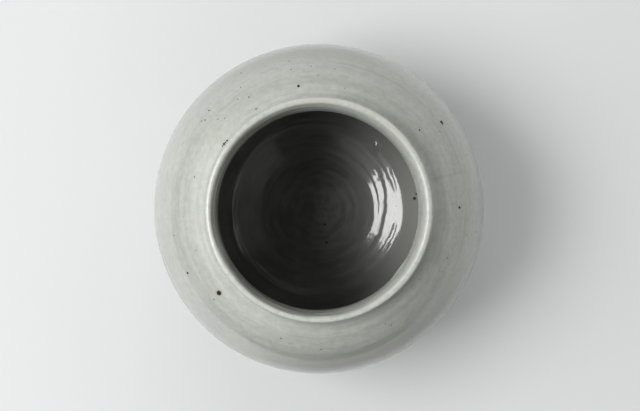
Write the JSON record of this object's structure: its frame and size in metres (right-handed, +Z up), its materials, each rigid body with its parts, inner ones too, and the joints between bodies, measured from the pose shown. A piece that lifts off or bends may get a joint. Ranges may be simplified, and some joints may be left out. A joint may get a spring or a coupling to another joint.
{
  "type": "jar",
  "caption": "Round-bellied open stoneware jar with a short upright neck, a pale speckled glaze outside, a dark glossy glaze inside and a trimmed foot ring.",
  "frame": {"origin": "centre of the foot ring's resting face, on the jar's axis", "axes": "+Z up along the jar's axis; +X to the right and +Y to the top of the picture, which looks straight down"},
  "size_m": [0.165, 0.165, 0.1515],
  "materials": {
    "stoneware": "bare fired clay, matt, light buff",
    "pale_glaze": "glossy pale grey glaze with small iron specks",
    "dark_glaze": "glossy charcoal liner glaze"
  },
  "bodies": {
    "root": {"stoneware_body": "stoneware", "outer_glaze": "pale_glaze", "inner_glaze": "dark_glaze"}
  },
  "joints": []
}
